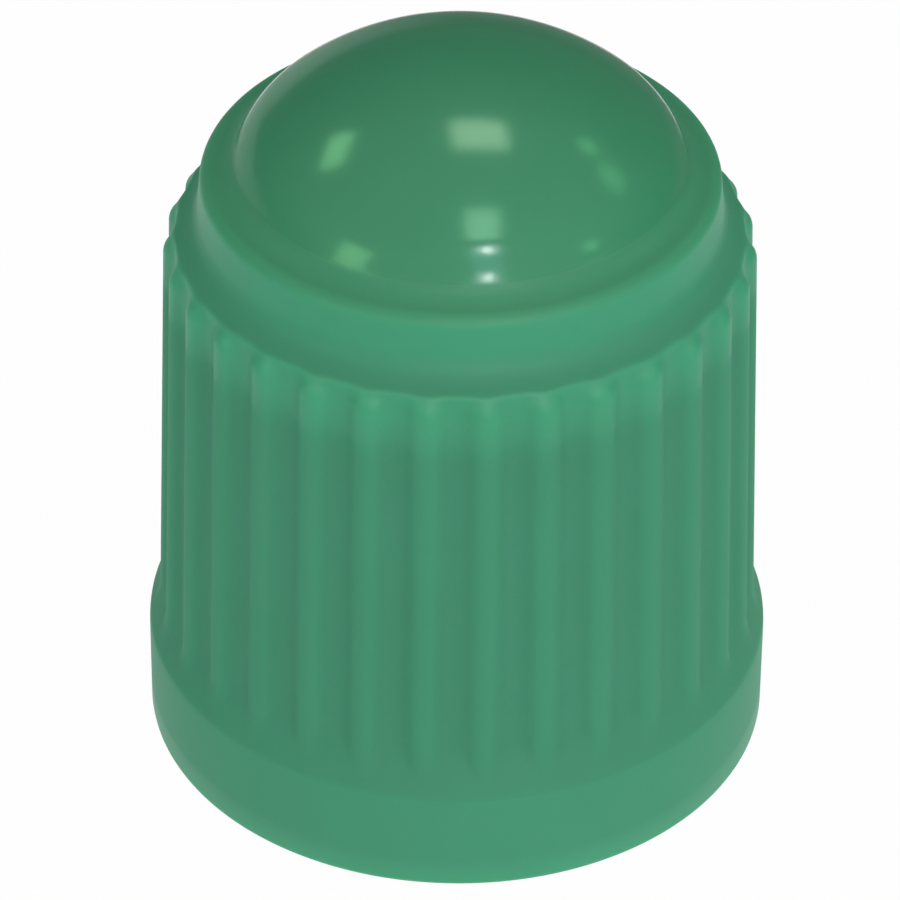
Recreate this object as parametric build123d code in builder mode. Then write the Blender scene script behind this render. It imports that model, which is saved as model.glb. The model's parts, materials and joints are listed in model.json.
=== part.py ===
from build123d import *

import os
from math import atan, cos, degrees, radians, sin, sqrt, tan

# Tyre valve cap: one plastic moulding that screws over a valve stem.
# It stands on its open mouth, as it lies on a bench: +Z is up through the dome,
# and the origin is the centre of the mouth's flat rim.
# All lengths are in millimetres and all angles in degrees.

# Flange round the mouth
flange_diameter = 10.0
flange_height = 1.75
flange_slope_angle = 65.0
flange_rim_chamfer = 0.12

# Barrel, measured over its ribs at the flange's upper edge and at the ledge
barrel_foot_diameter = 9.66
barrel_head_diameter = 9.24
ledge_height = 9.2

# Half-round ribs that stand out of the barrel and slope away below the ledge
rib_count = 31
rib_height = 0.17
rib_round = 0.33
rib_end_angle = 45.0
rib_end_setback = 0.08
first_rib_angle = 90.0

# Plain collar above the ledge
collar_foot_diameter = 8.2
collar_head_diameter = 8.1
collar_height = 1.07
collar_edge_round = 0.12

# Dome: a rounded shoulder that runs into a flatter crown
dome_foot_diameter = 7.2
dome_height = 2.07
dome_shoulder_round = 1.68
dome_wall_lean = 12.0

# Inside: the threaded bore for the valve stem, its seat, and the recess over the valve core
bore_diameter = 7.8
bore_depth = 8.0
mouth_chamfer = 0.45
recess_diameter = 5.2
recess_wall_height = 10.1
roof_thickness = 0.9

# Radii and levels that follow from the sizes above
flange_radius = flange_diameter / 2
barrel_foot_radius = barrel_foot_diameter / 2 - rib_height
barrel_head_radius = barrel_head_diameter / 2 - rib_height
collar_foot_radius = collar_foot_diameter / 2
collar_head_radius = collar_head_diameter / 2
dome_foot_radius = dome_foot_diameter / 2
bore_radius = bore_diameter / 2
recess_radius = recess_diameter / 2
collar_top = ledge_height + collar_height
dome_top = collar_top + dome_height
recess_top = dome_top - roof_thickness

# The flange's slope rises until it meets the barrel between the ribs
draft = (barrel_foot_radius - barrel_head_radius) / (ledge_height - flange_height)
slope_rise = tan(radians(flange_slope_angle))
slope_run = (flange_radius - barrel_foot_radius) / (1 - draft * slope_rise)
slope_end = Vector(flange_radius - slope_run, flange_height + slope_run * slope_rise)

# The shoulder's arc starts at the dome's foot, and the crown's arc is tangent to it
lean = radians(dome_wall_lean)
shoulder_centre = Vector(
    dome_foot_radius - dome_shoulder_round * cos(lean),
    collar_top - dome_shoulder_round * sin(lean),
)
shoulder_drop = dome_top - shoulder_centre.Y
crown_radius = (shoulder_centre.X**2 + shoulder_drop**2 - dome_shoulder_round**2) / (
    2 * (shoulder_drop - dome_shoulder_round)
)
crown_centre = Vector(0, dome_top - crown_radius)
crown_start = shoulder_centre + (shoulder_centre - crown_centre).normalized() * dome_shoulder_round

# The recess ends in a spherical roof
roof_rise = recess_top - recess_wall_height
roof_radius = (recess_radius**2 + roof_rise**2) / (2 * roof_rise)

# A rib is a round bar that leans with the barrel's draft, its axis sunk below the barrel's wall.
# Its cone-shaped end runs on into the wall, and stops half way up the setback below the ledge.
rib_sink = rib_round - rib_height
rib_end_slope = tan(radians(rib_end_angle))
rib_tip_length = rib_height * rib_end_slope + rib_end_setback / 2
rib_tip_radius = rib_round - rib_tip_length / rib_end_slope
rib_end_height = ledge_height - rib_end_setback - rib_height * rib_end_slope
rib_axis_radius = barrel_head_radius + draft * (ledge_height - rib_end_height) - rib_sink * sqrt(1 + draft**2)
rib_length = rib_end_height - flange_height

with BuildPart() as rib:
    with BuildSketch(Plane.XZ):
        with BuildLine():
            Polyline(
                (0, -rib_length),
                (rib_round, -rib_length),
                (rib_round, 0),
                (rib_tip_radius, rib_tip_length),
                (0, rib_tip_length),
                close=True,
            )
        make_face()
    revolve(axis=Axis.Z)

with BuildPart() as valve_cap:
    # Outside: flange, barrel, collar and dome as one turned form
    with BuildSketch(Plane.XZ) as outside:
        with BuildLine():
            Polyline(
                (0, dome_top),
                (0, 0),
                (flange_radius, 0),
                (flange_radius, flange_height),
                slope_end,
                (barrel_head_radius, ledge_height),
                (collar_foot_radius, ledge_height),
                (collar_head_radius, collar_top),
                (dome_foot_radius, collar_top),
            )
            RadiusArc((dome_foot_radius, collar_top), crown_start, -dome_shoulder_round)
            RadiusArc(crown_start, (0, dome_top), -crown_radius)
        make_face()
        rim_corner = outside.vertices().sort_by_distance((flange_radius, 0))[0]
        chamfer(rim_corner, flange_rim_chamfer)
        collar_corner = outside.vertices().sort_by_distance((collar_head_radius, collar_top))[0]
        fillet(collar_corner, collar_edge_round)
    revolve(axis=Axis.Z)

    # Ribs round the barrel, each rooted in the flange
    with PolarLocations(rib_axis_radius, rib_count, start_angle=first_rib_angle):
        with Locations((0, 0, rib_end_height)):
            add(rib.part, rotation=(0, -degrees(atan(draft)), 0))

    # Inside: chamfered mouth, threaded bore, seat and domed recess
    with BuildSketch(Plane.XZ):
        with BuildLine():
            Polyline(
                (0, recess_top),
                (0, 0),
                (bore_radius + mouth_chamfer, 0),
                (bore_radius, mouth_chamfer),
                (bore_radius, bore_depth),
                (recess_radius, bore_depth),
                (recess_radius, recess_wall_height),
            )
            RadiusArc((recess_radius, recess_wall_height), (0, recess_top), -roof_radius)
        make_face()
    revolve(axis=Axis.Z, mode=Mode.SUBTRACT)

valve_cap.part.label = "valve_cap"

os.makedirs("parts", exist_ok=True)
export_step(valve_cap.part, "parts/valve_cap.step")
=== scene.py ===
# %% [markdown]
# # A tyre valve cap
# The object is one small moulding in green plastic: a hollow cap, about twelve millimetres tall, that
# screws over a valve stem to keep dirt out. It has a flange round its mouth, a barrel with half-round
# ribs for the fingers, a narrow ledge, a plain collar and a polished dome.
# The measured model is loaded first, as a fixed frame. Everything below is built around it, in metres.

# %% Load the measured frame
import json
from math import acos, asin, atan2, cos, degrees, hypot, pi, radians, sin, sqrt, tan

import bmesh
import bpy
from mathutils import Matrix, Vector


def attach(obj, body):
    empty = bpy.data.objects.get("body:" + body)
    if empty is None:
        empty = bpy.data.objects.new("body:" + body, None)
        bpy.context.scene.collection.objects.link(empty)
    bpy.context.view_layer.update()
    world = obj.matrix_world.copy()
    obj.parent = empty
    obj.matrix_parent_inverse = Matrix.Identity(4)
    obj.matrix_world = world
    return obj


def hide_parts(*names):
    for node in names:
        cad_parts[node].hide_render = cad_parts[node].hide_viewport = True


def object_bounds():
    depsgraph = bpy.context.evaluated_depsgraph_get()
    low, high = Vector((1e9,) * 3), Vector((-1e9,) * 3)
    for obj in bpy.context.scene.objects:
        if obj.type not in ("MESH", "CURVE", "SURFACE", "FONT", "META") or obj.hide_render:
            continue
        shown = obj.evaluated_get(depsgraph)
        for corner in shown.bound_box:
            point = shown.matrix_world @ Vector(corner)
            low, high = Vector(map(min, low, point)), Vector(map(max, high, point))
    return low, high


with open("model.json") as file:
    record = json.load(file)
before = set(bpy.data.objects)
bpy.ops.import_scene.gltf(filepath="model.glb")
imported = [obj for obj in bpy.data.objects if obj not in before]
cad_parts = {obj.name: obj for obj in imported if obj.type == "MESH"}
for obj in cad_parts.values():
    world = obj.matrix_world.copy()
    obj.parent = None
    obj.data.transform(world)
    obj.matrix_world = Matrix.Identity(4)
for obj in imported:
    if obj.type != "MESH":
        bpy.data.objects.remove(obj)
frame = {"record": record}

MM = 0.001
cad_low, cad_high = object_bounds()
flange_radius = cad_high.x
cap_height = cad_high.z
mounts = {mount["name"]: mount for mount in frame["record"]["mounts"]}
bore_radius = mounts["stem_bore"]["dims"]["r_mm"] * MM
print("cap is", round(2 * flange_radius / MM, 2), "mm wide and", round(cap_height / MM, 2), "mm tall")

# %% [markdown]
# ## The camera
# The picture looks down on the cap by about 37 degrees through a long lens, so the lines of the barrel
# hardly converge. A camera could be aimed with a Track To constraint, but the angles are known, so its
# matrix is written down: tip it from straight down, move it back along its own line of sight and a little
# upwards in its own plane, then roll it by half a degree.

# %% Camera
view_elevation = radians(36.92)
view_azimuth = radians(0.5)
view_roll = radians(0.48)
view_distance = 100 * MM
picture_shift = (-0.132 * MM, 3.902 * MM)
sensor_width = 36
focal_length = 242.76

camera_data = bpy.data.cameras.new("camera")
camera_data.sensor_width = sensor_width
camera_data.lens = focal_length
camera_data.clip_start = MM
camera = bpy.data.objects.new("camera", camera_data)
bpy.context.scene.collection.objects.link(camera)
tip = Matrix.Rotation(view_azimuth, 4, "Z") @ Matrix.Rotation(pi / 2 - view_elevation, 4, "X")
aim = tip @ Matrix.Translation((*picture_shift, view_distance))
camera.matrix_world = aim @ Matrix.Rotation(view_roll, 4, "Z")
bpy.context.scene.camera = camera
print("camera stands at", [round(c / MM, 1) for c in camera.matrix_world.translation], "mm")

# %% [markdown]
# ## The sizes of the section
# Every height and radius of the moulding can be read off one half section, from the mouth up to the
# dome. They are written once here, so that the shapes below fit one another. The rounded edges of a real
# moulding are small, but they are what catches the light, so each has a size too.

# %% Sizes of the section
flange_height = 1.75 * MM
flange_edge_round = 0.16 * MM
rim_round = 0.12 * MM
slope_rise = tan(radians(65))
barrel_foot_radius = 4.66 * MM
barrel_head_radius = 4.45 * MM
ledge_height = 9.2 * MM
ledge_round = 0.06 * MM
collar_foot_radius = 4.08 * MM
collar_head_radius = 4.05 * MM
collar_top = 10.36 * MM
collar_cove_round = 0.6 * MM
collar_edge_round = 0.22 * MM
dome_cove_round = 0.5 * MM
shoulder_round = 1.68 * MM
shoulder_radius = 1.957 * MM
shoulder_height = 9.921 * MM
mouth_chamfer = 0.45 * MM
bore_depth = 8.0 * MM
recess_radius = 2.6 * MM
recess_wall_height = 10.1 * MM
roof_thickness = 0.9 * MM

draft = (barrel_foot_radius - barrel_head_radius) / (ledge_height - flange_height)
slope_run = (flange_radius - barrel_foot_radius) / (1 - draft * slope_rise)
slope_end_height = flange_height + slope_run * slope_rise


def barrel_radius(height):
    """Radius of the barrel between the ribs, which the mould's draft narrows towards the top."""
    return barrel_foot_radius - draft * (height - flange_height)


print("the flange's slope meets the barrel at", round(slope_end_height / MM, 2), "mm")

# %% [markdown]
# ## The ribs
# Thirty-one half-round ribs run up the barrel. Each one is a round bar, sunk so that only its outer part
# shows. Its upper end is rounded like a ball, and a fillet joins it to the barrel. The ribs could be bars
# joined on with a Boolean, but that leaves hard creases. Here a rib is a gentle push on the barrel's own
# skin, so a formula says how far: the bar's arc near the crest line, then the fillet's arc.

# %% Sizes of the ribs
rib_count = 31
rib_height = 0.17 * MM
rib_round = 0.33 * MM
rib_fillet = 0.38 * MM
rib_end_height = 8.86 * MM
rib_sink = rib_round - rib_height
rib_reach = sqrt((rib_round + rib_fillet) ** 2 - (rib_fillet + rib_sink) ** 2)
rib_turn = rib_reach * rib_round / (rib_round + rib_fillet)
rib_pitch = 2 * pi / rib_count


def rib_rise(across, height):
    """How far a rib stands out of the barrel, at a distance across from its crest line."""
    away = hypot(across, max(height - rib_end_height, 0))
    if away < rib_turn:
        return sqrt(rib_round**2 - away**2) - rib_sink
    if away < rib_reach:
        return rib_fillet - sqrt(rib_fillet**2 - (rib_reach - away) ** 2)
    return 0


print("a rib is", round(2 * rib_reach / MM, 2), "mm wide and", round(rib_height / MM, 2), "mm high")

# %% [markdown]
# ## Drawing the half section
# A turned shape starts as a line: the half section, drawn in the plane through the axis. It could be a
# curve, but a mesh can be shaped further. One vertex is enough to begin. Extrude draws a straight run,
# Spin draws an arc, and a vertex bevel rounds a corner, just as a pencil, a pair of compasses and a file
# would. The line starts on the axis, under the roof of the hollow, and runs down to the mouth.

# %% First vertex
def start_wire(name, radius, height):
    """Begin a new object as a single vertex, at a radius and a height, and stay in edit mode."""
    bpy.ops.object.select_all(action="DESELECT")
    bpy.ops.mesh.primitive_plane_add(size=MM)
    wire = bpy.context.object
    wire.name = wire.data.name = name
    bpy.ops.object.mode_set(mode="EDIT")
    bpy.ops.mesh.select_all(action="SELECT")
    bpy.ops.mesh.merge(type="CENTER")
    bpy.ops.transform.translate(value=(0, radius, height))
    return wire


roof_top = cap_height - roof_thickness
cap = start_wire("valve_cap_moulding", 0, roof_top)
print("section starts on the axis,", round(roof_top / MM, 2), "mm up")

# %% Half section, inside
def line_to(piece, radius, height, parts=1):
    """Extrude the end of the wire to a new place, in a number of equal parts."""
    end = next(v.co.copy() for v in bmesh.from_edit_mesh(piece.data).verts if v.select)
    step = (Vector((0, radius, height)) - end) / parts
    for _ in range(parts):
        bpy.ops.mesh.extrude_region_move(TRANSFORM_OT_translate={"value": step})


def arc_about(centre_radius, centre_height, angle, parts):
    """Spin the end of the wire about a centre, towards the axis where the angle is positive."""
    bpy.ops.mesh.spin(steps=parts, angle=-angle, center=(0, centre_radius, centre_height), axis=(1, 0, 0))


roof_rise = roof_top - recess_wall_height
roof_radius = (recess_radius**2 + roof_rise**2) / (2 * roof_rise)
arc_about(0, roof_top - roof_radius, -asin(recess_radius / roof_radius), parts=12)
line_to(cap, recess_radius, bore_depth, parts=3)
line_to(cap, bore_radius, bore_depth, parts=2)
line_to(cap, bore_radius, mouth_chamfer, parts=4)
line_to(cap, bore_radius + mouth_chamfer, 0)
print("inside drawn with", len(bmesh.from_edit_mesh(cap.data).verts), "vertices")

# %% [markdown]
# Outside, the line climbs the flange, its slope and the barrel, crosses the ledge and follows the hollow
# cove at the collar's foot. A rib can only be as round as the rows of vertices allow, so the rows lie
# close together where the ribs' feet blend into the slope and where their upper ends are rounded.

# %% Half section, flange to collar
foot_blend = 0.12 * MM
crest_run = (flange_radius - barrel_foot_radius - rib_height) / (1 - draft * slope_rise)
crest_foot_height = flange_height + crest_run * slope_rise
foot_end_height = slope_end_height + foot_blend / 2 * slope_rise
ledge_edge_height = ledge_height - ledge_round
collar_cove_radius = collar_foot_radius + collar_cove_round
collar_cove_angle = acos((collar_cove_radius - barrel_head_radius) / collar_cove_round)
collar_cove_height = ledge_height + collar_cove_round * sin(collar_cove_angle)
collar_edge_height = collar_top - collar_edge_round

line_to(cap, flange_radius, 0, parts=2)
line_to(cap, flange_radius, flange_height, parts=2)
line_to(cap, flange_radius - crest_run, crest_foot_height, parts=4)
line_to(cap, barrel_radius(slope_end_height), slope_end_height, parts=10)
line_to(cap, barrel_radius(foot_end_height), foot_end_height, parts=4)
line_to(cap, barrel_radius(rib_end_height), rib_end_height, parts=11)
line_to(cap, barrel_radius(ledge_edge_height), ledge_edge_height, parts=8)
line_to(cap, barrel_head_radius, ledge_height)
arc_about(collar_cove_radius, collar_cove_height, -collar_cove_angle, parts=10)
line_to(cap, collar_head_radius, collar_edge_height, parts=2)
print("collar's cove rises to", round(collar_cove_height / MM, 2), "mm")

# %% [markdown]
# The dome doesn't meet the collar in a crease: its wall sweeps outwards in a hollow cove and then turns
# over the collar's edge. Three arcs that touch one another give that S-shaped line. The cove's centre lies
# one cove radius beyond both the shoulder's circle and the edge's circle, so it is where two larger
# circles cross. Above the shoulder, a flatter arc closes the crown.

# %% Sizes of the dome
collar_edge_radius = collar_head_radius - collar_edge_round
shoulder_reach = shoulder_round + dome_cove_round
edge_reach = collar_edge_round + dome_cove_round
edge_across = collar_edge_radius - shoulder_radius
edge_up = collar_edge_height - shoulder_height
edge_gap = hypot(edge_across, edge_up)
crossing = (shoulder_reach**2 - edge_reach**2 + edge_gap**2) / (2 * edge_gap)
cove_angle = atan2(edge_up, edge_across) + acos(crossing / shoulder_reach)
cove_radius = shoulder_radius + shoulder_reach * cos(cove_angle)
cove_height = shoulder_height + shoulder_reach * sin(cove_angle)
edge_angle = atan2(cove_height - collar_edge_height, cove_radius - collar_edge_radius)

crown_drop = cap_height - shoulder_height
crown_span = shoulder_radius**2 + crown_drop**2 - shoulder_round**2
crown_round = crown_span / (2 * (crown_drop - shoulder_round))
crown_height = cap_height - crown_round
blend_angle = atan2(shoulder_height - crown_height, shoulder_radius)
print("dome's wall leans in by", round(degrees(cove_angle), 1), "degrees at its foot")

# %% Half section, dome
arc_about(collar_edge_radius, collar_edge_height, edge_angle, parts=8)
arc_about(cove_radius, cove_height, cove_angle - edge_angle, parts=10)
arc_about(shoulder_radius, shoulder_height, blend_angle - cove_angle, parts=12)
arc_about(0, crown_height, pi / 2 - blend_angle, parts=18)
print("crown has a radius of", round(crown_round / MM, 2), "mm")

# %% [markdown]
# ## Rounded corners
# A mould's edges are never quite sharp, and each one here has its own small radius. A Bevel modifier could
# round the finished cap, but every edge would need its own weight. So each corner of the wire is bevelled
# by itself, before it is turned. The ledge's bevel stops just short of the row of vertices below it, so
# that the two don't meet.

# %% Rounded corners
seat_round = 0.12 * MM
lead_round = 0.08 * MM
mouth_round = 0.06 * MM
ledge_bevel = 0.95 * ledge_round


def select_vertices(piece, numbers):
    """Select the vertices with these numbers and no others, on the piece that is in edit mode."""
    bpy.ops.mesh.select_all(action="DESELECT")
    mesh = bmesh.from_edit_mesh(piece.data)
    mesh.verts.ensure_lookup_table()
    for number in numbers:
        mesh.verts[number].select_set(True)
    bmesh.update_edit_mesh(piece.data)


def round_corner(piece, radius, height, size, parts):
    """Bevel the wire's vertex nearest to a radius and a height into an arc."""
    corner = Vector((0, radius, height))
    distances = [(v.co - corner).length for v in bmesh.from_edit_mesh(piece.data).verts]
    select_vertices(piece, [distances.index(min(distances))])
    bpy.ops.mesh.bevel(offset=size, segments=parts, affect="VERTICES")


round_corner(cap, recess_radius, bore_depth, seat_round, parts=4)
round_corner(cap, bore_radius, bore_depth, seat_round, parts=4)
round_corner(cap, bore_radius, mouth_chamfer, lead_round, parts=3)
round_corner(cap, bore_radius + mouth_chamfer, 0, mouth_round, parts=3)
round_corner(cap, flange_radius, 0, rim_round, parts=5)
round_corner(cap, flange_radius, flange_height, flange_edge_round, parts=5)
round_corner(cap, barrel_head_radius, ledge_height, ledge_bevel, parts=5)
print("section drawn with", len(bmesh.from_edit_mesh(cap.data).verts), "vertices")

# %% [markdown]
# ## One slice, with one rib
# What repeats is modelled once. The section is turned through one rib's share of the circle, which gives
# a slice like a slice of cake, with a groove's middle at each side. Each vertex of the barrel is then
# pushed out from the axis by the rib's own formula, together with its mirror twin across the crest line.
# At its foot the rib runs into the flange's slope. Taking the larger of the two radii would leave a
# crease there, so where they are nearly the same a little is added, which rounds it off.

# %% Slice
columns_per_rib = 20

bpy.ops.mesh.select_all(action="SELECT")
bpy.ops.transform.rotate(value=rib_pitch / 2, orient_axis="Z", center_override=(0, 0, 0))
bpy.ops.mesh.spin(steps=columns_per_rib, angle=-rib_pitch, center=(0, 0, 0), axis=(0, 0, 1))
cap.update_from_editmode()
angles = [degrees(atan2(v.co.x, v.co.y)) for v in cap.data.vertices if v.co.xy.length > MM]
print("slice runs from", round(min(angles), 2), "to", round(max(angles), 2), "degrees")

# %% Rib
least_growth = 1.0001
lowest_push = flange_height + flange_edge_round


def pushed_radius(point):
    """Radius at which a vertex lies once the rib stands out of the barrel and blends into the slope."""
    on_round = max(barrel_radius(point.z) - point.xy.length, 0) if point.z > rib_end_height else 0
    across = point.xy.length * atan2(point.x, point.y)
    ribbed = barrel_radius(point.z) - on_round + rib_rise(across, point.z)
    slope = flange_radius - (point.z - flange_height) / slope_rise
    overlap = max(foot_blend - abs(slope - ribbed), 0)
    return max(slope, ribbed) + overlap**2 / (4 * foot_blend)


def mirrored_place(point):
    """The column, counted to either side of the crest line, and the height that a vertex lies at."""
    column = abs(atan2(point.x, point.y)) / rib_pitch * columns_per_rib
    return round(column), round(point.z / MM, 4)


def scale_from_axis(growth):
    """Scale what is selected away from the axis, and leave its height as it is."""
    bpy.ops.transform.resize(value=(growth, growth, 1), center_override=(0, 0, 0))


pushes = {}
for vertex in bmesh.from_edit_mesh(cap.data).verts:
    point = vertex.co
    if lowest_push < point.z < ledge_height and point.xy.length > collar_foot_radius:
        growth = pushed_radius(point) / point.xy.length
        if growth > least_growth:
            pushes.setdefault(mirrored_place(point), (growth, []))[1].append(vertex.index)

for growth, numbers in pushes.values():
    select_vertices(cap, numbers)
    scale_from_axis(growth)
print("rib raised with", len(pushes), "pushes")

# %% [markdown]
# ## Round to a full cap
# Spin can also make copies instead of a surface. Thirty more slices, each turned by one pitch, close the
# circle. An Array modifier with an object offset could do it too, but needs a helper object. Merging the
# vertices that meet joins the slices and closes the two poles on the axis.

# %% Full turn
merge_distance = 0.0002 * MM

bpy.ops.mesh.select_all(action="SELECT")
bpy.ops.mesh.spin(
    steps=rib_count - 1,
    dupli=True,
    angle=-rib_pitch * (rib_count - 1),
    center=(0, 0, 0),
    axis=(0, 0, 1),
)
bpy.ops.mesh.select_all(action="SELECT")
bpy.ops.mesh.remove_doubles(threshold=merge_distance)
bpy.ops.mesh.normals_make_consistent(inside=False)
bpy.ops.object.mode_set(mode="OBJECT")
bpy.ops.object.shade_smooth()
weighted = cap.modifiers.new("even_shading", "WEIGHTED_NORMAL")
bpy.ops.object.modifier_apply(modifier=weighted.name)
print("moulding has", len(cap.data.polygons), "faces")

# %% [markdown]
# ## The thread in the bore
# Inside, a fine thread winds up the bore to grip the stem. The Screw modifier is made for this: it turns
# a small section round the axis and lifts it by one pitch a turn. The section is a ridge with sloping
# flanks, and it starts a little inside the wall, so that no gap shows at its foot.

# %% Thread section
INCH = 25.4 * MM
threads_per_inch = 32
thread_pitch = INCH / threads_per_inch
thread_turns = 8
thread_start = 1.0 * MM
thread_crest_radius = 3.52 * MM
thread_crest_width = 0.1 * MM
thread_sink = 0.06 * MM
flank_angle = radians(30)
thread_root_radius = bore_radius + thread_sink
flank_width = (thread_root_radius - thread_crest_radius) * tan(flank_angle)
crest_low = thread_start - thread_crest_width / 2
crest_high = thread_start + thread_crest_width / 2

thread = start_wire("stem_thread", thread_root_radius, crest_low - flank_width)
line_to(thread, thread_crest_radius, crest_low)
line_to(thread, thread_crest_radius, crest_high)
line_to(thread, thread_root_radius, crest_high + flank_width)
bpy.ops.mesh.select_all(action="SELECT")
bpy.ops.mesh.edge_face_add()
bpy.ops.mesh.delete(type="ONLY_FACE")
bpy.ops.object.mode_set(mode="OBJECT")
print("thread section has", len(thread.data.vertices), "corners and", len(thread.data.edges), "edges")

# %% Thread
steps_per_turn = 96

section_corners = len(thread.data.vertices)
screw = thread.modifiers.new("winding", "SCREW")
screw.axis = "Z"
screw.angle = 2 * pi
screw.screw_offset = thread_pitch
screw.iterations = thread_turns
screw.steps = screw.render_steps = steps_per_turn
screw.use_merge_vertices = False
bpy.ops.object.modifier_apply(modifier=screw.name)
print("thread rises to", round(max(v.co.z for v in thread.data.vertices) / MM, 2), "mm")

# %% [markdown]
# A real thread doesn't start with a step: over its first and last quarter turn the ridge grows out of
# the wall. The vertices of a turned section come in order, one section after another, so the crest of
# each of those sections can be selected by number and scaled out towards the wall. A face then closes
# each end.

# %% Thread run-outs
runout_sections = steps_per_turn // 4
runout_sink = 0.02 * MM
hidden_radius = bore_radius + runout_sink
last_section = len(thread.data.vertices) // section_corners - 1
first_corners = thread.data.vertices[:section_corners]
crest_corners = [v.index for v in first_corners if v.co.xy.length < bore_radius]

bpy.ops.object.mode_set(mode="EDIT")
for step in range(runout_sections):
    sections = (step, last_section - step)
    select_vertices(thread, [s * section_corners + corner for s in sections for corner in crest_corners])
    radius = hidden_radius + (thread_crest_radius - hidden_radius) * step / runout_sections
    scale_from_axis(radius / thread_crest_radius)
print("thread runs out over", runout_sections, "sections at each end")

# %% Thread ends
crease_angle = radians(25)

for section in (0, last_section):
    select_vertices(thread, [section * section_corners + corner for corner in range(section_corners)])
    bpy.ops.mesh.edge_face_add()
bpy.ops.mesh.select_all(action="SELECT")
bpy.ops.mesh.normals_make_consistent(inside=False)
bpy.ops.object.mode_set(mode="OBJECT")
bpy.ops.object.shade_smooth_by_angle(angle=crease_angle)
print("thread has", len(thread.data.polygons), "faces")

# %% [markdown]
# ## Green plastic
# The cap is moulded in one soft green plastic, a little milky, so light that enters it comes out again
# close by. Subsurface scattering does that: the weight says how milky it is, and the scale how far the
# light travels. A coat of paint would be plain diffuse colour, which looks harder.

# %% Material
plastic_ior = 1.42
milkiness = 0.6
scatter_reach = (0.3, 1.0, 0.6)
scatter_depth = 0.4 * MM

plastic = bpy.data.materials.new("green_plastic")
plastic.use_nodes = True
plastic_tree = plastic.node_tree
shader = plastic_tree.nodes["Principled BSDF"]
shader.inputs["IOR"].default_value = plastic_ior
shader.inputs["Subsurface Weight"].default_value = milkiness
shader.inputs["Subsurface Radius"].default_value = scatter_reach
shader.inputs["Subsurface Scale"].default_value = scatter_depth
for piece in (cap, thread):
    piece.data.materials.clear()
    piece.data.materials.append(plastic)
print("plastic is on", plastic.users, "pieces")

# %% [markdown]
# ## Where each finish and each painted shade lies
# The plastic has several finishes. The dome was polished in the mould, so it mirrors the lamps, and its
# green is darker. The collar is satin, and its green, with a brighter line at its top edge, is painted
# lighter where more light falls. The ring at the dome's foot is painted lighter too, against the shade of
# its upward face, and it mirrors less. A darker green is painted shade on the ribs, a little more in their
# grooves, on the flange's face and in the cove above the ledge, and these places are matt as well. The rib
# caps and the flange's foot are left lighter, which is painted light. These could be separate materials on
# separate faces, but then each border would be a hard line. Masks from Object coordinates fade into one
# another.
# Most of them are ramps between two heights. The grooves' mask reads how far the skin stands out of the
# barrel's wall instead. Math nodes then join the masks.

# %% Place on the cap
def add_node(tree, kind, **settings):
    """Add a node to a tree and set its properties."""
    made = tree.nodes.new(kind)
    for name, value in settings.items():
        setattr(made, name, value)
    return made


def object_place(tree):
    """Where a point lies on its object, as a vector and as a height."""
    place = add_node(tree, "ShaderNodeTexCoord").outputs["Object"]
    axes = add_node(tree, "ShaderNodeSeparateXYZ")
    tree.links.new(place, axes.inputs["Vector"])
    return place, axes.outputs["Z"]


cap_place, cap_level = object_place(plastic_tree)
print("masks read", cap_place.name, "coordinates")

# %% Masks of the dome
# The deep green starts above the collar's edge, which keeps the lighter green as a painted highlight.
deep_band = (collar_edge_height + 0.06 * MM, collar_top + 0.2 * MM)
polished_band = (collar_top + 0.08 * MM, collar_top + 0.36 * MM)
# The ring at the dome's foot: painted lighter against the shade of its upward face, and less shiny.
ring_start_band = (collar_edge_height + 0.02 * MM, collar_top - 0.03 * MM)
ring_end_band = (collar_top + 0.05 * MM, collar_top + 0.4 * MM)


def map_range(tree, source, start, end, low=0, high=1, fade="SMOOTHSTEP"):
    """Turn a value that runs from start to end into one that runs from low to high."""
    ramp = add_node(tree, "ShaderNodeMapRange", interpolation_type=fade)
    for name, value in zip(("From Min", "From Max", "To Min", "To Max"), (start, end, low, high)):
        ramp.inputs[name].default_value = value
    tree.links.new(source, ramp.inputs["Value"])
    return ramp.outputs["Result"]


def combine(tree, operation, first, second):
    """Join two values, or a value and a number, with a Math node."""
    joint = add_node(tree, "ShaderNodeMath", operation=operation)
    tree.links.new(first, joint.inputs[0])
    if isinstance(second, bpy.types.NodeSocket):
        tree.links.new(second, joint.inputs[1])
    else:
        joint.inputs[1].default_value = second
    return joint.outputs["Value"]


deep = map_range(plastic_tree, cap_level, *deep_band)
polished = map_range(plastic_tree, cap_level, *polished_band)
over_collar = map_range(plastic_tree, cap_level, *ring_start_band)
under_dome = map_range(plastic_tree, cap_level, *ring_end_band, 1, 0)
painted_light_ring = combine(plastic_tree, "MULTIPLY", over_collar, under_dome)
print("masks of the dome use", len(plastic_tree.nodes), "nodes")

# %% Mask of the grooves
crest_share = 0.9


def without_height(tree, vector):
    """The level part of a vector, with its height taken out."""
    level = add_node(tree, "ShaderNodeVectorMath", operation="MULTIPLY")
    level.inputs[1].default_value = (1, 1, 0)
    tree.links.new(vector, level.inputs[0])
    return level.outputs["Vector"]


spoke = add_node(plastic_tree, "ShaderNodeVectorMath", operation="LENGTH")
plastic_tree.links.new(without_height(plastic_tree, cap_place), spoke.inputs[0])
barrel_ends = (flange_height, ledge_height, barrel_foot_radius, barrel_head_radius)
barrel_wall = map_range(plastic_tree, cap_level, *barrel_ends, fade="LINEAR")
proud = combine(plastic_tree, "SUBTRACT", spoke.outputs["Value"], barrel_wall)
# Painted shade: all of it in the grooves, a little less on the crests.
groove = map_range(plastic_tree, proud, 0, rib_height, 1, crest_share)
print("a rib's crest is dulled", crest_share, "times as much as a groove")

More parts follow.
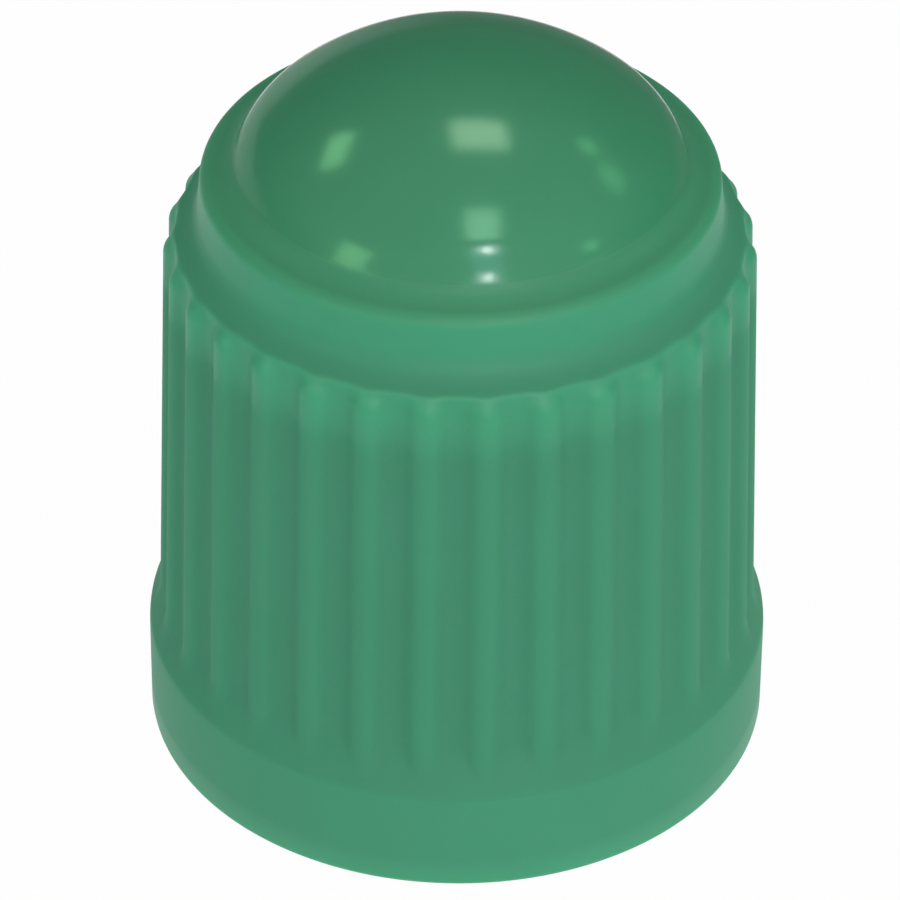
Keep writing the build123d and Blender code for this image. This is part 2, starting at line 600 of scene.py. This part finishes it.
# %% Masks of the barrel
caps_band = (rib_end_height - 1.0 * MM, rib_end_height)
flange_band = (flange_height - 0.15 * MM, flange_height + 0.05 * MM)
rim_band = (0.1 * MM, 0.6 * MM)
ledge_band = (ledge_height - 0.06 * MM, ledge_height + 0.02 * MM)
cove_band = (ledge_height + 0.1 * MM, collar_cove_height)
flange_share = 0.68
cove_share = 0.8

# Above this ramp the rib caps keep the lighter green, painted light on their rounded tops.
below_caps = map_range(plastic_tree, cap_level, *caps_band, 1, 0)
above_flange = map_range(plastic_tree, cap_level, *flange_band)
# Painted shade on the flange's face, none at its foot, which stays lighter as painted light.
above_rim = map_range(plastic_tree, cap_level, *rim_band, 0, flange_share)
low_limit = combine(plastic_tree, "MAXIMUM", above_flange, above_rim)
# The barrel's painted shade, on the ribs below their caps and on the flange's face.
painted_barrel_shade = combine(plastic_tree, "MULTIPLY", combine(plastic_tree, "MULTIPLY", below_caps, low_limit), groove)
# Painted shade in the cove above the ledge, strongest at its foot.
above_ledge = map_range(plastic_tree, cap_level, *ledge_band)
below_collar = map_range(plastic_tree, cap_level, *cove_band, cove_share, 0)
in_cove = combine(plastic_tree, "MULTIPLY", above_ledge, below_collar)
# One mask for all the painted shade, which also makes the same places matt.
painted_shade_and_matt = combine(plastic_tree, "MAXIMUM", painted_barrel_shade, in_cove)
print("all masks use", len(plastic_tree.nodes), "nodes")

# %% [markdown]
# ## Colour
# No moulding is one flat colour, so the satin green, the deep green and the darker green of the painted
# shade each have two close shades, and a soft noise drifts between them. A picture could carry the colours
# too, but noise needs no unwrapping and has no seam. The masks then lay one green over another: satin
# first, then deep, then the lighter green painted on the ring at the dome's foot, and the painted shade
# last.

# %% Colour
# The satin green is the lighter one; on the collar and its top edge it is painted light.
satin_shades = ((0.037, 0.303, 0.158), (0.040, 0.323, 0.182))
deep_shades = ((0.040, 0.249, 0.120), (0.042, 0.265, 0.140))
# Painted shade: a darker green for the barrel, the flange's face and the cove above the ledge.
painted_shade_greens = ((0.051, 0.248, 0.141), (0.054, 0.263, 0.161))
# Painted light: a lighter green for the ring at the dome's foot.
ring_painted_light_green = (0.05, 0.276, 0.145)
drift_scale = 600
drift_detail = 3


def mix_colours(tree, factor, first, second):
    """Mix two colours, each a socket or a plain colour, by a factor."""
    blend = add_node(tree, "ShaderNodeMix", data_type="RGBA")
    tree.links.new(factor, blend.inputs["Factor"])
    for name, colour in (("A", first), ("B", second)):
        if isinstance(colour, bpy.types.NodeSocket):
            tree.links.new(colour, blend.inputs[name])
        else:
            blend.inputs[name].default_value = (*colour, 1)
    return blend.outputs["Result"]


def add_noise(tree, place, scale, detail):
    """Add a noise of a scale and a detail, which runs from 0 to 1."""
    noise = add_node(tree, "ShaderNodeTexNoise")
    noise.inputs["Scale"].default_value = scale
    noise.inputs["Detail"].default_value = detail
    tree.links.new(place, noise.inputs["Vector"])
    return noise.outputs["Fac"]


drift = add_noise(plastic_tree, cap_place, drift_scale, drift_detail)
satin_green = mix_colours(plastic_tree, drift, *satin_shades)
deep_green = mix_colours(plastic_tree, drift, *deep_shades)
painted_shade_green = mix_colours(plastic_tree, drift, *painted_shade_greens)
moulded_green = mix_colours(plastic_tree, deep, satin_green, deep_green)
ring_lightened_green = mix_colours(plastic_tree, painted_light_ring, moulded_green, ring_painted_light_green)
# The painted shade goes on last, over the other greens.
green = mix_colours(plastic_tree, painted_shade_and_matt, ring_lightened_green, painted_shade_green)
plastic_tree.links.new(green, shader.inputs["Base Color"])
print("colour takes the nodes to", len(plastic_tree.nodes))

# %% [markdown]
# ## Gloss and grain
# The polish shows in the roughness: low on the dome, higher on satin, and highest on the matt places under
# the painted shade. Those places and the ring at the dome's foot also mirror less at any roughness, so the
# specular level drops there. A very fine grain in a Bump node breaks up the sharpest reflections. It is far
# too small to be worth real geometry.

# %% Gloss and grain
satin_roughness = 0.48
polished_roughness = 0.16
dulled_roughness = 0.66
dulled_fully = 0.8
ring_shine_loss = 0.7
clean_shine = 0.5
dim_shine = 0.22
grain_scale = 9000
grain_detail = 2
grain_strength = 0.1
grain_depth = 0.01 * MM

moulded_rough = map_range(plastic_tree, polished, 0, 1, satin_roughness, polished_roughness)
matt_rough = map_range(plastic_tree, painted_shade_and_matt, 0, dulled_fully, 0, dulled_roughness)
rough = combine(plastic_tree, "MAXIMUM", moulded_rough, matt_rough)
plastic_tree.links.new(rough, shader.inputs["Roughness"])
lost_shine = combine(plastic_tree, "MAXIMUM", combine(plastic_tree, "MULTIPLY", painted_light_ring, ring_shine_loss), painted_shade_and_matt)
shine = map_range(plastic_tree, lost_shine, 0, 1, clean_shine, dim_shine)
plastic_tree.links.new(shine, shader.inputs["Specular IOR Level"])

skin = add_node(plastic_tree, "ShaderNodeBump")
skin.inputs["Strength"].default_value = grain_strength
skin.inputs["Distance"].default_value = grain_depth
grain = add_noise(plastic_tree, cap_place, grain_scale, grain_detail)
plastic_tree.links.new(grain, skin.inputs["Height"])
plastic_tree.links.new(skin.outputs["Normal"], shader.inputs["Normal"])
print("material has", len(plastic_tree.nodes), "nodes")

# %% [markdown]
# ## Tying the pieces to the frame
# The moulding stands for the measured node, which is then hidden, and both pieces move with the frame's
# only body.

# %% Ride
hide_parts("valve_cap")
for piece in (cap, thread):
    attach(piece, "root")
print(cap.name, "and", thread.name, "ride on the root body")

# %% [markdown]
# ## Floor
# The cap stands on a plain white table that fills the picture. A matt white only looks as bright as the
# light on it, so for the camera and for reflections most of it is emission at strength 1, which is white.
# The rest stays matt and keeps the cap's shadow. For all other light it glows less, like a lit table.

# %% Floor
floor_size = 0.8

bpy.ops.object.select_all(action="DESELECT")
bpy.ops.mesh.primitive_plane_add(size=floor_size)
floor = bpy.context.object
floor.name = "floor"
print("floor is", round(floor.dimensions.x, 2), "m square")

# %% White table
table_colour = (0.9, 0.9, 0.9, 1)
table_roughness = 0.9
seen_glow = 0.98
unseen_glow = 0.35


def ray_is_seen(tree):
    """A value of 1 where the camera looks, straight or through a reflection, and 0 for other light."""
    path = add_node(tree, "ShaderNodeLightPath").outputs
    mirrored = combine(tree, "MAXIMUM", path["Is Glossy Ray"], path["Is Transmission Ray"])
    return combine(tree, "MAXIMUM", path["Is Camera Ray"], mirrored)


table = bpy.data.materials.new("white_table")
table.use_nodes = True
table_tree = table.node_tree
matt_white = table_tree.nodes["Principled BSDF"]
matt_white.inputs["Base Color"].default_value = table_colour
matt_white.inputs["Roughness"].default_value = table_roughness
matt_white.inputs["Specular IOR Level"].default_value = 0
white_glow = add_node(table_tree, "ShaderNodeEmission")
table_top = add_node(table_tree, "ShaderNodeMixShader")
glow_share = map_range(table_tree, ray_is_seen(table_tree), 0, 1, unseen_glow, seen_glow)
table_tree.links.new(glow_share, table_top.inputs["Fac"])
table_tree.links.new(matt_white.outputs["BSDF"], table_top.inputs[1])
table_tree.links.new(white_glow.outputs["Emission"], table_top.inputs[2])
table_tree.links.new(table_top.outputs["Shader"], table_tree.nodes["Material Output"].inputs["Surface"])
floor.data.materials.append(table)
print("table glows by", seen_glow, "where it is seen and by", unseen_glow, "elsewhere")

# %% [markdown]
# ## Soft light
# All the light that the plastic scatters comes from its surroundings. They are brightest in front of the
# cap, a little to the right and above the table, and dim behind it. A large lamp could do this, but a
# world whose strength grows towards one side gives the softest turn from light to dark round the barrel.

# %% World
light_azimuth = radians(17)
light_elevation = radians(9)
brightest = Vector((sin(light_azimuth), -cos(light_azimuth), tan(light_elevation))).normalized()
dark_from = 0.1
back_strength = 0.4
front_strength = 1.78
soft_white = (1, 1, 0.97, 1)


def along(tree, vector, direction):
    """How far a vector reaches along a direction, as the dot product of the two."""
    product = add_node(tree, "ShaderNodeVectorMath", operation="DOT_PRODUCT")
    product.inputs[1].default_value = direction
    tree.links.new(vector, product.inputs[0])
    return product.outputs["Value"]


bpy.context.scene.view_settings.view_transform = "Standard"
world = bpy.data.worlds.new("surroundings")
bpy.context.scene.world = world
world.use_nodes = True
world_tree = world.node_tree
soft_light = world_tree.nodes["Background"]
soft_light.inputs["Color"].default_value = soft_white
outwards = add_node(world_tree, "ShaderNodeTexCoord").outputs["Generated"]
to_front = along(world_tree, outwards, brightest)
strength = map_range(world_tree, to_front, dark_from, 1, back_strength, front_strength, fade="LINEAR")
world_tree.links.new(strength, soft_light.inputs["Strength"])
print("world is brightest towards", [round(c, 2) for c in brightest])

# %% [markdown]
# Where the camera looks past the table, straight or through a reflection, the world is plain white at
# strength 1. That keeps the background white without putting more light on the cap.

# %% White past the table
white = add_node(world_tree, "ShaderNodeBackground")
white.inputs["Color"].default_value = (1, 1, 1, 1)
either = add_node(world_tree, "ShaderNodeMixShader")
world_tree.links.new(ray_is_seen(world_tree), either.inputs["Fac"])
world_tree.links.new(soft_light.outputs["Background"], either.inputs[1])
world_tree.links.new(white.outputs["Background"], either.inputs[2])
world_tree.links.new(either.outputs["Shader"], world_tree.nodes["World Output"].inputs["Surface"])
print("world has", len(world_tree.nodes), "nodes")

# %% [markdown]
# ## Canopy
# A polished dome shows what is round it. Under a white sky it would look milky, so photographers hang a
# dark cloth over a shiny thing. This canopy is the upper half of a sphere, with a flat brim that runs in
# over the table and leaves a small round mouth for the cap. Only reflections can see it, and it casts no
# shadow. The brim is the sphere's cut edge, extruded and scaled towards the axis.

# %% Canopy
canopy_radius = 0.38
canopy_mouth = 0.025
canopy_foot = MM

bpy.ops.object.select_all(action="DESELECT")
bpy.ops.mesh.primitive_uv_sphere_add(segments=48, ring_count=24, radius=canopy_radius)
canopy = bpy.context.object
canopy.name = "canopy"
bpy.ops.object.mode_set(mode="EDIT")
bpy.ops.mesh.select_all(action="SELECT")
bpy.ops.mesh.bisect(plane_co=(0, 0, canopy_foot), plane_no=(0, 0, 1), clear_inner=True)
bpy.ops.mesh.select_all(action="DESELECT")
bpy.ops.mesh.select_mode(type="EDGE")
bpy.ops.mesh.select_non_manifold()
bpy.ops.mesh.extrude_edges_move()
scale_from_axis(canopy_mouth / canopy_radius)
bpy.ops.mesh.select_mode(type="VERT")
bpy.ops.object.mode_set(mode="OBJECT")
canopy.visible_camera = canopy.visible_diffuse = canopy.visible_shadow = False
canopy.visible_transmission = canopy.visible_volume_scatter = False
print("canopy rises to", round(max(v.co.z for v in canopy.data.vertices), 2), "m")

# %% [markdown]
# The cloth glows faintly in a pale green. It is lightest overhead towards the front and darkest behind, and
# its brim is lightest to the left at the back, where the side of the dome and the collar mirror it. Like
# the plastic's finishes, each is a ramp, and the brighter of the two is used.

# %% Cloth overhead
cloth_dark = 0.17
cloth_light = 0.97
cloth_lit_side = Vector((0, -0.65, 0.76))
cloth_turn = (-0.3, 0.85)
brim_band = (2 * MM, 60 * MM)
brim_dimming = 0.8

cloth = bpy.data.materials.new("dark_canopy")
cloth.use_nodes = True
cloth_tree = cloth.node_tree
cloth_tree.nodes.remove(cloth_tree.nodes["Principled BSDF"])
cloth_place, cloth_level = object_place(cloth_tree)
to_lit_side = along(cloth_tree, cloth_place, cloth_lit_side / canopy_radius)
overhead = map_range(cloth_tree, to_lit_side, *cloth_turn, cloth_dark, cloth_light)
above_brim = map_range(cloth_tree, cloth_level, *brim_band, brim_dimming, 1)
sky_glow = combine(cloth_tree, "MULTIPLY", overhead, above_brim)
print("cloth overhead uses", len(cloth_tree.nodes), "nodes")

# %% Cloth of the brim
brim_dark = 0.12
brim_light = 0.6
brim_lit_side = Vector((-0.82, 0.57, 0))
brim_turn = (0.5, 0.95)
cloth_tint = (0.82, 1, 0.88, 1)

heading = add_node(cloth_tree, "ShaderNodeVectorMath", operation="NORMALIZE")
cloth_tree.links.new(without_height(cloth_tree, cloth_place), heading.inputs[0])
to_brim_side = along(cloth_tree, heading.outputs["Vector"], brim_lit_side)
sideways = map_range(cloth_tree, to_brim_side, *brim_turn, brim_dark, brim_light)
on_brim = map_range(cloth_tree, cloth_level, *brim_band, 1, 0)
brim_glow = combine(cloth_tree, "MULTIPLY", sideways, on_brim)
faint_glow = add_node(cloth_tree, "ShaderNodeEmission")
faint_glow.inputs["Color"].default_value = cloth_tint
cloth_glow = combine(cloth_tree, "MAXIMUM", sky_glow, brim_glow)
cloth_tree.links.new(cloth_glow, faint_glow.inputs["Strength"])
cloth_tree.links.new(faint_glow.outputs["Emission"], cloth_tree.nodes["Material Output"].inputs["Surface"])
canopy.data.materials.append(cloth)
print("cloth has", len(cloth_tree.nodes), "nodes")

# %% [markdown]
# ## Lamps
# The dome mirrors the lamps of the room as soft bright patches, and each patch tells where its lamp is.
# Two flat lamps hang overhead and point straight down, weaker panels stand to the left and right, a tall
# window stands in front, and two small bright lamps stand close to the camera. The patches could be painted
# on the dome, but then they wouldn't move as reflections do. These lamps only make reflections and put no
# light on the plastic itself. A lamp's power grows with its area, so its size doesn't change how bright its
# face is.

# %% Overhead lamps
overhead_height = 0.24
overhead_turn = radians(7)
# Each lamp's place over the table, its size, brightness and tint
overhead_lamps = {
    "overhead_back": ((0.024, 0.064), (0.075, 0.058), 7.3, (0.7, 1, 0.66)),
    "overhead_front": ((0.0375, -0.104), (0.056, 0.067), 7.3, (0.5, 1, 0.62)),
}


def add_lamp(name, location, turn, size, brightness, tint):
    """Add a rectangular area lamp for reflections only, with a power that suits its area."""
    bpy.ops.object.light_add(type="AREA", location=location, rotation=turn)
    lamp = bpy.context.object
    lamp.name = lamp.data.name = name
    lamp.visible_camera = lamp.visible_diffuse = False
    lamp.data.shape = "RECTANGLE"
    lamp.data.size, lamp.data.size_y = size
    lamp.data.energy = brightness * pi * size[0] * size[1]
    lamp.data.color = tint


for name, (place, size, brightness, tint) in overhead_lamps.items():
    add_lamp(name, (*place, overhead_height), (0, 0, overhead_turn), size, brightness, tint)
print(len(overhead_lamps), "lamps overhead")

# %% [markdown]
# The panels all stand at one distance and face the cap, so each is given by two angles: how far round it
# stands, counted from the front to the right, and how high. Its width and height are angles too, as the
# cap sees them.

# %% Panels round the cap
panel_distance = 0.25
left_tint = (0.42, 1, 0.44)
right_tint = (0.32, 1, 0.44)
daylight = (0.95, 1, 1)
skylight = (0.4, 1, 1.1)
# Each panel's direction and spread in degrees, its brightness and tint
panels = {
    "panel_left_back": ((-118, 46.5), (13, 8), 6.6, left_tint),
    "panel_left_front": ((-53, 21), (14, 21), 5.4, left_tint),
    "panel_right_back": ((122.5, 44.5), (5, 6), 4.2, right_tint),
    "panel_right": ((110, 38.5), (9, 9), 2.6, right_tint),
    "panel_right_front": ((67, 22), (6, 9), 4.2, right_tint),
    "window": ((14.5, 35), (13, 32), 2.0, skylight),
    "flash_high": ((16.5, 48.3), (3.6, 6.5), 42, daylight),
    "flash_low": ((13.5, 21.3), (3.6, 6.5), 38, daylight),
}

for name, (direction, spread, brightness, tint) in panels.items():
    azimuth, elevation = (radians(angle) for angle in direction)
    side = Vector((sin(azimuth) * cos(elevation), -cos(azimuth) * cos(elevation), sin(elevation)))
    size = [2 * panel_distance * tan(radians(angle) / 2) for angle in spread]
    turn = side.to_track_quat("Z", "Y").to_euler()
    add_lamp(name, side * panel_distance, turn, size, brightness, tint)
print(len(panels), "panels round the cap")
